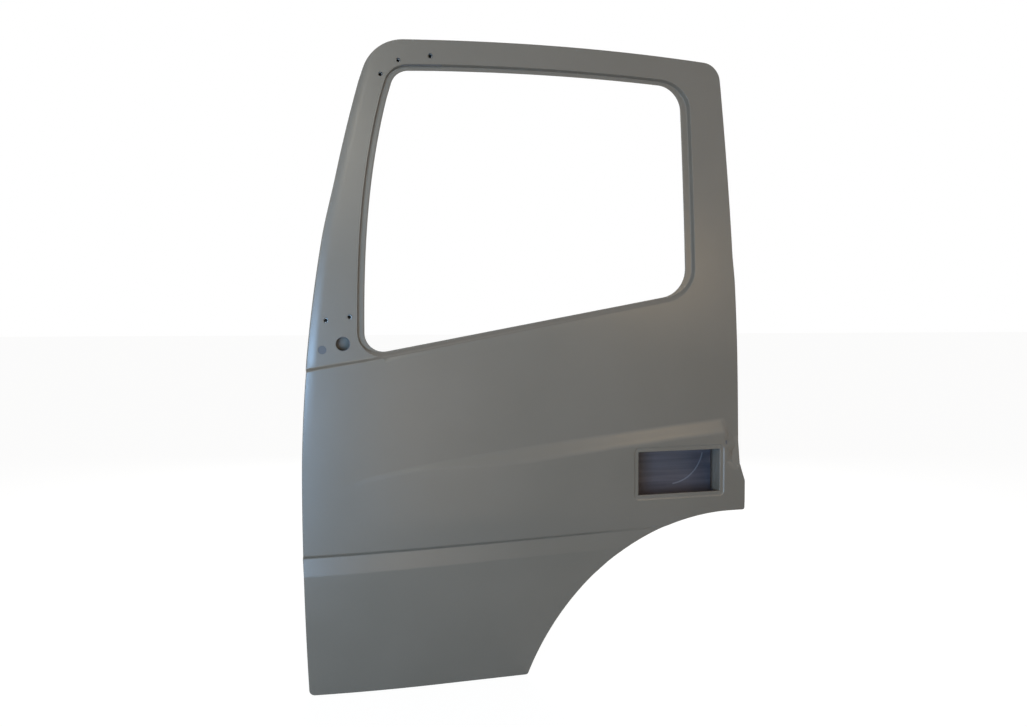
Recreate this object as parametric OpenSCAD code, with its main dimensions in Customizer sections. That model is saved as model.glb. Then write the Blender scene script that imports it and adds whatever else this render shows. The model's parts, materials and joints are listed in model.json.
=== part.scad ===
/* [Door shell] */
// Height of the door from its lower edge to the crown of the header
door_h = 1600; // [1560:1:1660]
// Width of the door from its front edge to its rear edge above the wheel arch
door_w = 1160; // [1130:1:1200]
// Depth of the door from the skin's reference plane to the inner panel's inner face
door_d = 92; // [84:1:110]
// Depth of the box section round the window
frame_d = 36; // [32:1:44]
// Thickness of the pressed sheets
sheet_t = 1; // [0.8:0.1:1.4]
// Gap left by the sealer between two sheets that lie on each other
seam_gap = 0.2; // [0.1:0.05:0.3]
// Width of the hem that folds the skin round the inner panel's flange
hem_w = 11; // [9:0.5:13]
// Width of the flange between the hem's edge and the shut face
flange_w = 16; // [15:0.5:19]

/* [Outline] */
// Length of the flat lower edge, from the front edge to the wheel arch
foot_w = 568; // [540:1:600]
// Radius of the wheel arch
arch_r = 602; // [590:1:620]
// Height of the crown of the wheel arch above the lower edge
arch_h = 395; // [380:1:410]
// How far the wheel arch lip stands out behind the rear edge
lip_out = 13; // [8:0.5:16]
// Height of the wheel arch lip
lip_h = 108; // [95:1:115]
// Height at which the front edge bulges furthest forward
belly_z = 502; // [470:1:530]
// How far the foot of the front edge lies behind the bulge
foot_sweep = 18; // [10:1:20]
// How far the front edge leans back at the header
pillar_lean = 181; // [165:1:195]
// How far the rear edge leans forward at the header
rear_lean = 36; // [24:1:42]
// How far the header falls 400 mm away from its crown
header_drop = 12; // [8:0.5:15]
// Corner radius at the front end of the header
front_corner_r = 112; // [95:1:125]
// Corner radius at the rear end of the header
rear_corner_r = 48; // [40:1:60]
// Corner radius at the foot of the front edge
foot_corner_r = 14; // [8:1:20]

/* [Skin form] */
// How far the header leans inboard of the waist
tumblehome = 56; // [46:1:64]
// How far the lower edge curves inboard
turn_under = 26; // [18:1:32]
// How far the front edge curves inboard
front_sweep = 24; // [18:1:28]
// Depth of the swage pressed across the lower door
swage_d = 7; // [5:0.5:9]
// Height of the swage's long slope
swage_h = 44; // [36:1:50]
// Height of the swage's upper line at the front edge
swage_z = 342; // [330:1:350]
// How far the handle swell stands out of the skin
swell_out = 13; // [10:0.5:15]
// Height of the handle swell's crease where it starts at the front
crease_z = 518; // [505:1:530]
// How far the crease rises towards the rear
crease_rise = 119; // [108:1:128]
// Depth of the shoulder that steps the window frame inboard
shoulder_d = 8; // [5:0.5:10]

/* [Window] */
// Height of the window's lower front corner
belt_z = 819; // [805:1:830]
// Rise of the belt towards the rear, in millimetres per millimetre
belt_rise = 0.1826; // [0.17:0.001:0.195]
// Distance from the front edge to the window's lower front corner
window_front = 147; // [140:1:155]
// Width of the rear pillar, from the window's rear side to the rear edge
rear_pillar_w = 153; // [148:1:165]
// Height of the header over the window at its crown
header_h = 79; // [72:1:90]
// How far the window's front side leans back at the top
window_lean = 88; // [80:1:95]
// Width of the glass seal's land along the window's front side
land_front = 15; // [14:0.5:18]
// Width of the glass seal's land along the window's rear side
land_rear = 19; // [15:0.5:22]
// Width of the glass seal's land along the header
land_top = 7; // [6:0.5:9]
// Width of the steep step that leads down to the land
step_w = 5; // [4:0.5:7]
// Width of the rounded shoulder that leads over the belt into the window
belt_round = 15; // [12:0.5:18]
// Depth of the step
step_d = 13; // [10:0.5:15]

/* [Handle] */
// Width of the outer handle's aperture
handle_w = 238; // [220:1:245]
// Height of the outer handle's aperture
handle_h = 112; // [100:1:116]
// Distance from the rear side of the aperture to the rear edge
handle_gap = 63; // [56:1:70]
// Height of the lower side of the aperture
handle_z = 449; // [446:1:456]
// Width of the shallow rim pressed round the aperture
rim_w = 14; // [10:0.5:15]
// Depth of that rim
rim_d = 2; // [1.5:0.1:3]

/* [Hinges and latch] */
// Height of the upper hinge
hinge_upper_z = 690; // [670:1:710]
// Height of the lower hinge
hinge_lower_z = 190; // [180:1:215]
// Distance between the two bolts of a hinge
hinge_pitch = 56; // [50:1:60]
// Diameter of the hinge bolt holes
hinge_bolt_d = 10.5; // [8.5:0.5:12.5]
// Height of the latch
latch_z = 520; // [505:1:535]
// Pitch circle of the three latch screws
latch_pcd = 62; // [56:1:66]
// Diameter of the latch screw holes
latch_bolt_d = 7; // [6:0.5:8]

/* [Hidden] */

primer = "#6b6a62";
steel = "#8c8f90";
zinc = "#b9bcb8";
foam = "#3b3b3d";

// Thickness of the welded reinforcements, the hinge pads and the belt rail
brace_t = 2;
pad_t = 3;
rail_t = 1.2;
// Clearance round a bolt where it only passes through a sheet
bolt_clear = 3;
// How finely round edges of the pressed sheets are drawn
edge_steps = 4;
hole_facets = 16;
// How far cutting shapes run past what they cut
past = 5;

// Heights and places of the pressed lines
waist_z = 800;
turn_z = 410;
sweep_x = 320;
crown_x = door_w - 460;
window_rear = door_w - rear_pillar_w;
window_top = door_h - header_h;
handle_x = door_w - handle_gap - handle_w;
lip_top = arch_h + lip_h;
swage_rise = 0.025;
swage_lip = 5;
swell_front = 128;
swell_full = handle_x - 259;
swell_rear = door_w - 130;
swell_low_z = 430;
swell_fade = 180;
swell_end_lean = 0.264;
swell_end_w = 26;
crease_w_front = 16;
crease_w_rear = 45;
shoulder_drop = 12;
shoulder_h = 10;
ramp_below = 90;
ramp_above = 40;

// Inner structure
shut_x = foot_sweep + flange_w;
latch_x = door_w - flange_w - 8;
hem_t = 3 * sheet_t + 2 * seam_gap;
weld_w = 14;
seam_drop = weld_w;
rim_flange = 9;
// Sealer gap between the window land and the frame's weld flange
land_gap = 0.7;
hinge_y = door_d - 34;
hinge_pad_w = 46;
hinge_pad_h = 96;
hinge_face_x = shut_x - seam_gap - pad_t;

function ease(t) = let (u = max(0, min(1, t))) u * u * (3 - 2 * u);
function belt_line(x) = belt_z + belt_rise * (x - window_front);
function shoulder_line(x) = belt_line(x) - shoulder_drop;
function swage_line(x) = swage_z + swage_rise * x;
function crease_line(x) =
    crease_z + crease_rise * pow(max(0, (x - swell_front) / (swell_rear - swell_front)), 0.7);
function crease_w(x) = crease_w_front + (crease_w_rear - crease_w_front) * ease((x - 230) / 350);
function front_x(z) =
    z < belly_z ? foot_sweep * pow((belly_z - z) / belly_z, 2)
    : pillar_lean * pow((z - belly_z) / (door_h - belly_z), 2);
function rear_x(z) = door_w - rear_lean * pow(max(0, z - lip_top) / (door_h - lip_top), 1.5);
function header_z(x) = door_h - header_drop * pow((x - crown_x) / 400, 2);
function window_side(z) = window_front + window_lean * pow(max(0, z - belt_z) / (window_top - belt_z), 2.3);
function window_header(x) = window_top - header_drop * pow((x - crown_x) / 400, 2);

// Skin surface: base curves, then the swage, the handle swell and the shoulder
function base_y(x, z) =
    tumblehome * pow(max(0, z - waist_z) / (door_h - waist_z), 1.6)
    + turn_under * pow(max(0, turn_z - z) / turn_z, 2)
    + front_sweep * pow(max(0, sweep_x - x) / sweep_x, 2);
function swage_y(x, z) =
    let (down = swage_line(x) - z, fade = 1 - 0.6 * ease((x - 700) / 170))
    down <= 0 || down >= swage_lip + swage_h ? 0
    : swage_d * fade * (down < swage_lip ? down / swage_lip : 1 - (down - swage_lip) / swage_h);
function swell_end(z) = door_w - 31 - swell_end_lean * (z - lip_top);
function swell_y(x, z) =
    -swell_out * ease((x - swell_front) / (swell_full - swell_front))
    * ease((crease_line(x) - z) / crease_w(x))
    * (1 - ease((swell_low_z - z) / swell_fade))
    * (z > lip_top ? 1 - ease((x - swell_end(z)) / swell_end_w) : 1);
function shoulder_y(x, z) =
    shoulder_d * (1 - ease((x - 150) / 800)) * ease((z - shoulder_line(x)) / shoulder_h);
function skin_y(x, z) = base_y(x, z) + swage_y(x, z) + swell_y(x, z) + shoulder_y(x, z);
function inner_y(x, z) =
    let (t = ease((z - belt_line(x) + ramp_below) / (ramp_below + ramp_above)))
    door_d * (1 - t) + (skin_y(x, z) + frame_d) * t;
level = function (depth) function (x, z) skin_y(x, z) + depth;
deep = function (depth) function (x, z) inner_y(x, z) - depth;

// Columns and rows of the pressed surfaces, which follow the pressed lines
columns = concat(
    [-8],
    [for (i = [0 : 5]) sweep_x * pow(i / 6, 1.3)],
    [for (i = [0 : 8]) sweep_x + i * (door_w - 160 - sweep_x) / 8],
    [for (i = [0 : 3]) door_w - 74 + i * 24],
    [door_w + lip_out + 9]
);
function lines_at(x) = [
    -8, swage_line(x) - swage_lip - swage_h, swage_line(x) - swage_lip, swage_line(x),
    min(lip_top - 8, crease_line(x) - crease_w(x) - 10), crease_line(x) - crease_w(x), crease_line(x),
    belt_line(x) - ramp_below, shoulder_line(x), shoulder_line(x) + shoulder_h,
    belt_line(x) + ramp_above, door_h + 8
];
row_counts = [3, 1, 1, 2, 1, 2, 2, 3, 1, 1, 6];
rows_at = function (x)
    let (lines = lines_at(x))
    concat(
        [for (i = [0 : len(row_counts) - 1], k = [0 : row_counts[i] - 1])
            lines[i] + (lines[i + 1] - lines[i]) * k / row_counts[i]],
        [lines[len(row_counts)]]
    );
ramp_row = 3 + 1 + 1 + 2 + 1 + 2 + 2;
panel_rows_at = function (x)
    let (rows = rows_at(x)) concat([rows[0]], [for (i = [ramp_row : len(rows) - 1]) rows[i]]);

// Corner of an outline rounded to radius r, as points on the arc
function unit(v) = v / norm(v);
function fillet(a, b, c, r) =
    r == 0 ? [b]
    : let (
        u = unit(a - b), v = unit(c - b), half = acos(u * v) / 2,
        centre = b + unit(u + v) * r / sin(half),
        p = b + u * r / tan(half) - centre, q = b + v * r / tan(half) - centre,
        start = atan2(p.y, p.x), turn = (atan2(q.y, q.x) - start + 540) % 360 - 180
    )
    [
        for (i = [0 : edge_steps])
            let (angle = start + turn * i / edge_steps) centre + r * [cos(angle), sin(angle)]
    ];
function rounded(corners) =
    let (n = len(corners), at = function (i) [corners[i].x, corners[i].y])
    [for (i = [0 : n - 1]) each fillet(at((i + n - 1) % n), at(i), at((i + 1) % n), corners[i].z)];

// Outer outline, anticlockwise from the foot of the front edge
arch_x = foot_w + sqrt(pow(arch_r, 2) - pow(arch_r - arch_h, 2));
arch_start = acos((arch_x - foot_w) / arch_r);
function arch_point(i, n) =
    let (angle = arch_start + (90 - arch_start) * i / n)
    [arch_x - arch_r * cos(angle), arch_h - arch_r + arch_r * sin(angle), 0];
outline = rounded(concat(
    [[front_x(0), 0, foot_corner_r], [foot_w, 0, 8]],
    [for (i = [1 : 10]) arch_point(i, 10)],
    [[door_w + lip_out, arch_h, 6], [door_w + lip_out, lip_top - 30, 10], [door_w, lip_top + 8, 10]],
    [for (i = [1 : 4]) let (z = lip_top + 20 + i * (door_h - lip_top - 157) / 4) [rear_x(z), z, 0]],
    [[rear_x(door_h), header_z(rear_x(door_h)), rear_corner_r]],
    [for (i = [0 : 4]) let (x = door_w - 120 - i * (door_w - 480) / 4) [x, header_z(x), 0]],
    [[front_x(door_h - 8), header_z(200), front_corner_r]],
    [for (i = [0 : 8]) let (z = door_h - 120 - i * (door_h - 240) / 8) [front_x(z), z, 0]]
));

// Window outline, anticlockwise from its lower front corner
window_corners = concat(
    [[window_front, belt_line(window_front), 45]],
    [
        for (i = [0 : 4])
            let (x = window_front + 113 + i * (window_rear - window_front - 260) / 4) [x, belt_line(x), 0]
    ],
    [[window_rear, belt_line(window_rear), 85]],
    [for (i = [0.34, 0.62]) [window_rear, belt_line(window_rear) * (1 - i) + window_top * i, 0]],
    [[window_rear, window_header(window_rear), 70]],
    [
        for (i = [0 : 3])
            let (x = window_rear - 147 - i * (window_rear - window_front - 380) / 3)
                [x, window_header(x), 0]
    ],
    [[window_side(window_top - 12), window_header(window_side(window_top)), 48]],
    [for (i = [0 : 4]) let (z = window_top - 91 - i * (window_top - belt_z - 222) / 4) [window_side(z), z, 0]]
);
window = rounded(window_corners);
window_n = len(window);
function window_normal(i) =
    let (d = unit(window[(i + 1) % window_n] - window[(i + window_n - 1) % window_n])) [d.y, -d.x];
function land_w(n) =
    (n.x < 0 ? land_front : land_rear) * n.x * n.x + (n.y > 0 ? land_top * n.y * n.y : 0);
function round_w(n) = step_w + (belt_round - step_w) * pow(max(0, -n.y), 2);
// Outer edge of the rebate, grown outwards and slid a little along itself
function lip_points(grow, slide = 0) =
    [for (i = [0 : window_n - 1]) let (n = window_normal(i))
        window[i] + n * (land_w(n) + round_w(n) + grow) + slide * [-n.y, n.x]];

// Solid between two surfaces y = front(x, z) and y = back(x, z)
module slab(front, back, rows = rows_at) {
    nx = len(columns);
    nz = len(rows(0));
    points = [for (face = [front, back], x = columns, z = rows(x)) [x, face(x, z), z]];
    f = function (i, j) i * nz + j;
    b = function (i, j) (nx + i) * nz + j;
    quads = concat(
        [for (i = [0 : nx - 2], j = [0 : nz - 2]) each [
            [f(i, j), f(i, j + 1), f(i + 1, j + 1), f(i + 1, j)],
            [b(i, j), b(i + 1, j), b(i + 1, j + 1), b(i, j + 1)]
        ]],
        [for (j = [0 : nz - 2]) each [
            [f(0, j), b(0, j), b(0, j + 1), f(0, j + 1)],
            [f(nx - 1, j), f(nx - 1, j + 1), b(nx - 1, j + 1), b(nx - 1, j)]
        ]],
        [for (i = [0 : nx - 2]) each [
            [f(i, 0), f(i + 1, 0), b(i + 1, 0), b(i, 0)],
            [f(i, nz - 1), b(i, nz - 1), b(i + 1, nz - 1), f(i + 1, nz - 1)]
        ]]
    );
    polyhedron(points, [for (q = quads) each [[q[0], q[1], q[2]], [q[0], q[2], q[3]]]], convexity = 12);
}

// Solid through sections whose points run anticlockwise about the direction of the sweep
module loft(sections, ring = false) {
    n = len(sections);
    m = len(sections[0]);
    sides = [for (i = [0 : n - (ring ? 1 : 2)], j = [0 : m - 1])
        let (a = i * m, b = ((i + 1) % n) * m, k = (j + 1) % m)
        each [[a + j, b + j, b + k], [a + j, b + k, a + k]]];
    caps = ring ? [] : [[for (j = [0 : m - 1]) j], [for (j = [m - 1 : -1 : 0]) (n - 1) * m + j]];
    polyhedron([for (s = sections) each s], concat(sides, caps), convexity = 12);
}

// Shape drawn in the x-z plane, carried from y = near to y = far
module prism(near = -60, far = 180) {
    rotate([90, 0, 0]) translate([0, 0, -far]) linear_extrude(far - near) children();
}

// Rectangle with round corners, from its lower front corner
module pane(x, z, w, h, r) {
    hull() for (i = [r, w - r], k = [r, h - r]) translate([x + i, z + k]) circle(r, $fn = hole_facets);
}

module handle_pane(grow, r) {
    pane(handle_x - grow, handle_z - grow, handle_w + 2 * grow, handle_h + 2 * grow, r);
}

// Hole along y at (x, z)
module hole_y(x, z, d) {
    translate([x, 60, z]) rotate([90, 0, 0]) cylinder(d = d, h = 240, center = true, $fn = hole_facets);
}

// Moves the door so that the upper hinge face holds the origin
module place() {
    translate([-hinge_face_x, -hinge_y, -hinge_upper_z]) children();
}

// Window rebate: a ring whose section steps down from the skin to the land
module window_rebate() {
    curve = [0, 0.3, 0.7, 1];
    loft([for (i = [0 : window_n - 1])
        let (
            n = window_normal(i), w = land_w(n),
            at = function (s, d) let (p = window[i] + n * s) [p.x, skin_y(p.x, p.y) + d, p.y],
            round = round_w(n),
            step = function (u, extra) at(w + round * (1 - u), step_d * ease(u) + extra)
        )
        concat(
            [at(0, step_d)],
            [for (k = [3 : -1 : 0]) step(curve[k], 0)],
            [at(w + round + 2, 0.35 * sheet_t), at(w + round + 2, 0.65 * sheet_t)],
            [for (k = [0 : 3]) step(curve[k], sheet_t)],
            [at(0, step_d + sheet_t)]
        )
    ], ring = true);
}

// Recessed rim round the handle aperture: a wall in two courses, a floor and a flange
module handle_rim() {
    floor_y = rim_d - swell_out;
    for (k = [0, 1])
        prism(
            -swell_out + k * rim_d / 2 + 0.3 * sheet_t,
            -swell_out + (k + 1) * rim_d / 2 + 0.7 * sheet_t
        )
        difference() {
            handle_pane(rim_w + (1.6 - 0.7 * k) * sheet_t, 11);
            handle_pane(rim_w + (0.6 - 0.7 * k) * sheet_t, 10);
        }
    prism(floor_y, floor_y + sheet_t) difference() {
        handle_pane(rim_w + 0.3 * sheet_t, 10.4);
        handle_pane(0.5 * sheet_t, 4.5);
    }
    prism(floor_y + 0.4 * sheet_t, floor_y + rim_flange) difference() {
        handle_pane(sheet_t, 5);
        handle_pane(0, 4);
    }
}

// Mirror fixings: the holes seen in the skin, as [x, z, diameter]
mirror_upper = [[200, door_h - 104, 11], [244.5, door_h - 67, 11], [324.5, door_h - 51, 13]];
mirror_lower = [
    [59.5, belt_z + 83, 12], [115, belt_z + 91, 12],
    [50, belt_z + 13, 20], [98.5, belt_z + 27, 34]
];

// Skin whose edge folds round the inner flange in a hem
module outer_skin() {
    color(primer) place() {
        difference() {
            intersection() {
                slab(level(0), level(hem_t));
                prism() polygon(outline);
            }
            intersection() {
                slab(level(sheet_t), level(hem_t - sheet_t));
                prism() offset(delta = -sheet_t) polygon(outline);
            }
            intersection() {
                slab(level(hem_t - 1.5 * sheet_t), level(hem_t + past));
                prism() offset(delta = -hem_w) polygon(outline);
            }
            prism() polygon(lip_points(0.8, 0.37));
            prism() handle_pane(rim_w + 1.1 * sheet_t, 10.8);
            for (m = concat(mirror_upper, mirror_lower)) hole_y(m.x, m.y, m.z);
        }
        window_rebate();
        handle_rim();
    }
}

// Outline of the deep part of the inner panel, inside its flange
module box_outline() {
    intersection() {
        offset(delta = -flange_w) polygon(outline);
        translate([shut_x, -past]) square([latch_x - shut_x, door_h + 2 * past]);
    }
}

// Flange, shut face and floor pressed from one sheet, whose folds meet at mid thickness
module inner_stamping() {
    intersection() {
        slab(level(sheet_t + seam_gap), level(2 * sheet_t + seam_gap));
        prism() difference() {
            offset(delta = -sheet_t - seam_gap) polygon(outline);
            offset(delta = -0.5 * sheet_t) box_outline();
        }
    }
    intersection() {
        slab(level(1.5 * sheet_t + seam_gap), deep(0.5 * sheet_t));
        prism() difference() {
            box_outline();
            offset(delta = -sheet_t) box_outline();
        }
    }
    intersection() {
        slab(deep(sheet_t), deep(0), panel_rows_at);
        prism() offset(delta = -0.5 * sheet_t) box_outline();
    }
}

// Everything below the seam between the inner panel and the window frame
module below_seam(shift) {
    prism() polygon([
        [-50, -50], [door_w + 50, -50],
        [door_w + 50, belt_line(door_w + 50) - seam_drop + shift],
        [-50, belt_line(-50) - seam_drop + shift]
    ]);
}

// Body of a half-round bead on the inner panel's floor, between two points
module bead(b, r) {
    intersection() {
        hull() for (p = [[b[0], b[1]], [b[2], b[3]]]) translate([p.x, door_d - sheet_t, p.y])
            sphere(r, $fn = 10);
        translate([0, door_d - 2 * sheet_t, 0]) cube([door_w, 60, door_h]);
    }
}

service_x = 330;
service_w = 330;
service_z = 225;
service_h = 370;
speaker_x = 178;
speaker_z = 330;
speaker_d = 168;
check_z = 430;

module inner_panel() {
    color(primer) place() {
        difference() {
            union() {
                intersection() {
                    inner_stamping();
                    below_seam(0);
                }
                for (b = beads) bead(b, bead_r);
            }
            for (b = beads) bead(b, bead_r - sheet_t);
            prism(door_d - 30) {
                pane(service_x, service_z, service_w, service_h, 46);
                pane(door_w - 270, 590, 170, 90, 28);
                pane(350, 90, 150, 60, 24);
                pane(90, 560, 120, 46, 18);
                translate([speaker_x, speaker_z]) circle(d = speaker_d, $fn = 36);
            }
            // Hinge bolts, door check and latch pass through the shut faces
            for (z = [hinge_lower_z, hinge_upper_z], k = [-1, 1])
                translate([shut_x - past, hinge_y, z + k * hinge_pitch / 2]) rotate([0, 90, 0])
                    cylinder(d = hinge_bolt_d + bolt_clear, h = 3 * past, $fn = hole_facets);
            translate([shut_x - past, hinge_y - 9, check_z - 16]) cube([3 * past, 18, 32]);
            translate([latch_x - past, hinge_y - 9, latch_z - 12]) cube([3 * past, 60, 24]);
            for (a = latch_angles) translate([latch_x - past, hinge_y, latch_z]) rotate([a, 0, 0])
                translate([0, latch_pcd / 2, 0]) rotate([0, 90, 0])
                    cylinder(d = latch_bolt_d + bolt_clear, h = 3 * past, $fn = hole_facets);
            // Clip holes for the trim board
            for (p = clip_holes) translate([p.x, door_d, p.y]) rotate([90, 0, 0])
                cylinder(d = 8, h = 3 * past, center = true, $fn = 8);
            // Drain slots at the lower edge
            for (x = [120, 300, 480]) translate([x, 40, -past]) cube([26, 14, flange_w + 2 * past]);
        }
    }
}

latch_angles = [60, 180, 300];
bead_r = 7;
beads = [
    [100, 120, 300, 120], [250, 660, 640, 690],
    [door_w - 440, 690, door_w - 100, 750], [door_w - 330, 350, door_w - 330, 560]
];
clip_holes = concat(
    [for (i = [0 : 3]) [60, 90 + i * 200]],
    [for (i = [0 : 2]) [250 + i * 110, 45]],
    [for (i = [0 : 4]) [200 + i * (door_w - 320) / 4, 640 + i * 38]]
);

module window_frame_inner() {
    land_y = step_d + sheet_t + land_gap;
    color(primer) place() difference() {
        union() {
            difference() {
                inner_stamping();
                prism() offset(delta = weld_w - 0.5 * sheet_t) polygon(window);
            }
            intersection() {
                slab(level(land_y), level(land_y + sheet_t));
                prism() offset(delta = weld_w - 0.4 * sheet_t) polygon(window);
            }
            intersection() {
                slab(level(land_y + 0.5 * sheet_t), deep(0.5 * sheet_t));
                prism() difference() {
                    offset(delta = weld_w) polygon(window);
                    offset(delta = weld_w - sheet_t) polygon(window);
                }
            }
        }
        below_seam(seam_gap);
        prism() polygon(window);
        // Glass slot along the belt
        prism() polygon([
            [window_front + 45, belt_line(window_front + 45) - 30],
            [window_rear - 95, belt_line(window_rear - 95) - 30],
            [window_rear - 95, belt_line(window_rear - 95) + past],
            [window_front + 45, belt_line(window_front + 45) + past]
        ]);
        // Trim clip slots on the pillars and the header
        prism(frame_d) for (p = frame_slots) pane(p.x, p.y, 16, 8, 3.5);
    }
}

frame_slots = concat(
    [for (i = [0 : 3]) [window_rear + 50, belt_line(window_rear) + 104
        + i * (window_top - belt_line(window_rear) - 215) / 3]],
    [for (i = [0 : 3]) [350 + i * (window_rear - 467) / 3, window_top + 32]]
);

// Z-section rail bonded to the skin under the belt
module belt_rail_outer() {
    web = 20;
    leg_top = 14;
    color(steel) place() loft([for (x = columns) if (x > window_front + 20 && x < window_rear - 40)
        let (
            rows = rows_at(x), low = rows[ramp_row + 1], mid = rows[ramp_row + 2],
            y_low = skin_y(x, low) + sheet_t + seam_gap, y_mid = skin_y(x, mid) + sheet_t + seam_gap,
            top = belt_line(x) - leg_top
        )
        [
            [x, y_low, low], [x, y_low + rail_t, low], [x, y_mid + rail_t, mid - rail_t],
            [x, y_mid + web, mid - rail_t], [x, y_mid + web, top], [x, y_mid + web - rail_t, top],
            [x, y_mid + web - rail_t, mid], [x, y_mid, mid]
        ]
    ]);
}

// Hat-section rail welded to the inner panel under the belt
module belt_rail_inner() {
    rail_h = 46;
    hat_d = 14;
    lip_w = 12;
    tilt = atan(belt_rise);
    start = window_front + 20;
    run = (window_rear - window_front - 80) / cos(tilt);
    color(steel) place()
        translate([start, door_d - sheet_t - seam_gap, belt_line(start) - ramp_below - 60])
        rotate([0, -tilt, 0])
            rotate([90, 0, 90]) linear_extrude(run) polygon([
                [0, 0], [0, lip_w], [-hat_d + rail_t, lip_w],
                [-hat_d + rail_t, rail_h - lip_w], [0, rail_h - lip_w],
                [0, rail_h], [-rail_t, rail_h], [-rail_t, rail_h - lip_w + rail_t],
                [-hat_d, rail_h - lip_w + rail_t], [-hat_d, lip_w - rail_t],
                [-rail_t, lip_w - rail_t], [-rail_t, 0]
            ]);
}

beam_d = 34;
beam_wall = 2.5;
beam_y = 40;
beam_z = 600;
beam_rise = 90;
beam_end_gap = 8;
beam_front = shut_x + sheet_t + seam_gap + brace_t + beam_end_gap;
beam_rear = latch_x - sheet_t - seam_gap - brace_t - beam_end_gap;
beam_tilt = atan(beam_rise / (beam_rear - beam_front));
beam_l = (beam_rear - beam_front) / cos(beam_tilt);
function beam_line(x) = beam_z + beam_rise * (x - beam_front) / (beam_rear - beam_front);

// Carries its children to the beam's axis at x, with the beam along +X
module on_beam(x) {
    translate([x, beam_y, beam_line(x)]) rotate([0, -beam_tilt, 0]) rotate([0, 90, 0]) children();
}

module impact_beam() {
    color(steel) place() on_beam(beam_front) difference() {
        cylinder(d = beam_d, h = beam_l, $fn = 48);
        translate([0, 0, -past]) cylinder(d = beam_d - 2 * beam_wall, h = beam_l + 2 * past, $fn = 48);
    }
}

// Plate on a shut face with a half-round cradle that the beam lies in
module beam_bracket(face, side) {
    cradle_l = 60;
    clear = 0.3;
    plate_h = 100;
    plate_w = door_d - beam_y - sheet_t - seam_gap + 14;
    end_x = side > 0 ? face : face - brace_t;
    translate([end_x, beam_y - 14, beam_line(face) - plate_h / 2]) cube([brace_t, plate_w, plate_h]);
    intersection() {
        on_beam(face) translate([0, 0, side > 0 ? -past : -cradle_l]) difference() {
            cylinder(d = beam_d + 2 * (clear + brace_t), h = cradle_l + past, $fn = 48);
            translate([0, 0, -past]) cylinder(d = beam_d + 2 * clear, h = cradle_l + 3 * past, $fn = 48);
        }
        translate([side > 0 ? face : face - 100, beam_y, 0]) cube([100, 60, door_h]);
    }
}

module impact_beam_bracket_front() {
    color(steel) place() beam_bracket(shut_x + sheet_t + seam_gap, 1);
}

module impact_beam_bracket_rear() {
    color(steel) place() beam_bracket(latch_x - sheet_t - seam_gap, -1);
}

// Foam blocks between the beam and the skin
module damping_pads() {
    pad_l = 60;
    pad_h = 30;
    seat = sheet_t + 0.3;
    color(foam) place() for (x = [400, 610, 820]) difference() {
        translate([x - pad_l / 2, seat, beam_line(x) - pad_h / 2]) cube([pad_l, beam_y - seat - 6, pad_h]);
        on_beam(x) cylinder(d = beam_d + 0.6, h = 3 * pad_l, center = true, $fn = 48);
    }
}

// Frame that stiffens the handle aperture, with a fixing hole at each end
module handle_frame() {
    border = 22;
    clear = sheet_t + 0.3;
    frame_y = rim_d - swell_out + sheet_t + seam_gap;
    color(steel) place() translate([handle_x, frame_y, handle_z]) difference() {
        translate([-border, 0, -border]) cube([handle_w + 2 * border, brace_t, handle_h + 2 * border]);
        translate([-clear, -past, -clear]) cube([handle_w + 2 * clear, 3 * past, handle_h + 2 * clear]);
        for (x = [-border / 2, handle_w + border / 2]) translate([x, -past, handle_h / 2])
            rotate([-90, 0, 0]) cylinder(d = 6.5, h = 3 * past, $fn = 32);
    }
}

channel_y = 35;

// Channel that guides one edge of the glass and ends a drop below the belt, with a foot on the inner panel
module glass_channel(x, side, length, drop) {
    z1 = belt_line(x) - drop - length;
    y = channel_y;
    channel_w = 16;
    channel_d = 15;
    foot_h = 26;
    translate([x, y, z1]) linear_extrude(length) difference() {
        translate([side > 0 ? 0 : -channel_d, 0]) square([channel_d, channel_w]);
        translate([side > 0 ? rail_t : -channel_d - 1, rail_t])
        square([channel_d - rail_t + 1, channel_w - 2 * rail_t]);
    }
    translate([side > 0 ? x : x - rail_t, y + channel_w, z1])
        cube([rail_t, door_d - sheet_t - seam_gap - y - channel_w, foot_h]);
    translate([side > 0 ? x - 14 : x, door_d - sheet_t - seam_gap - rail_t, z1])
        cube([14, rail_t, foot_h]);
}

module glass_channel_front() {
    color(steel) place() glass_channel(window_front - 4, 1, 155, 23);
}

module glass_channel_rear() {
    color(steel) place() glass_channel(window_rear + 6, -1, 195, 47);
}

module hinge_pad(z) {
    translate([hinge_face_x, hinge_y - hinge_pad_w / 2, z - hinge_pad_h / 2]) difference() {
        cube([pad_t, hinge_pad_w, hinge_pad_h]);
        for (k = [-1, 1]) translate([-past, hinge_pad_w / 2, hinge_pad_h / 2 + k * hinge_pitch / 2])
            rotate([0, 90, 0]) cylinder(d = hinge_bolt_d, h = 3 * past, $fn = 48);
    }
}

module hinge_pad_upper() {
    color(steel) place() hinge_pad(hinge_upper_z);
}

module hinge_pad_lower() {
    color(steel) place() hinge_pad(hinge_lower_z);
}

// Weld nut along +X or, when turned, along +Y, with its seat at the origin
module weld_nut(bore, across, h) {
    difference() {
        cylinder(d = across * 2 / sqrt(3), h = h, $fn = 6);
        translate([0, 0, -past]) cylinder(d = bore, h = h + 2 * past, $fn = 32);
    }
}

module hinge_nuts(z) {
    for (k = [-1, 1]) translate([shut_x + sheet_t + seam_gap, hinge_y, z + k * hinge_pitch / 2])
        rotate([0, 90, 0]) weld_nut(hinge_bolt_d - 0.5, 17, 9);
}

module hinge_nuts_upper() {
    color(zinc) place() hinge_nuts(hinge_upper_z);
}

module hinge_nuts_lower() {
    color(zinc) place() hinge_nuts(hinge_lower_z);
}

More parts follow.
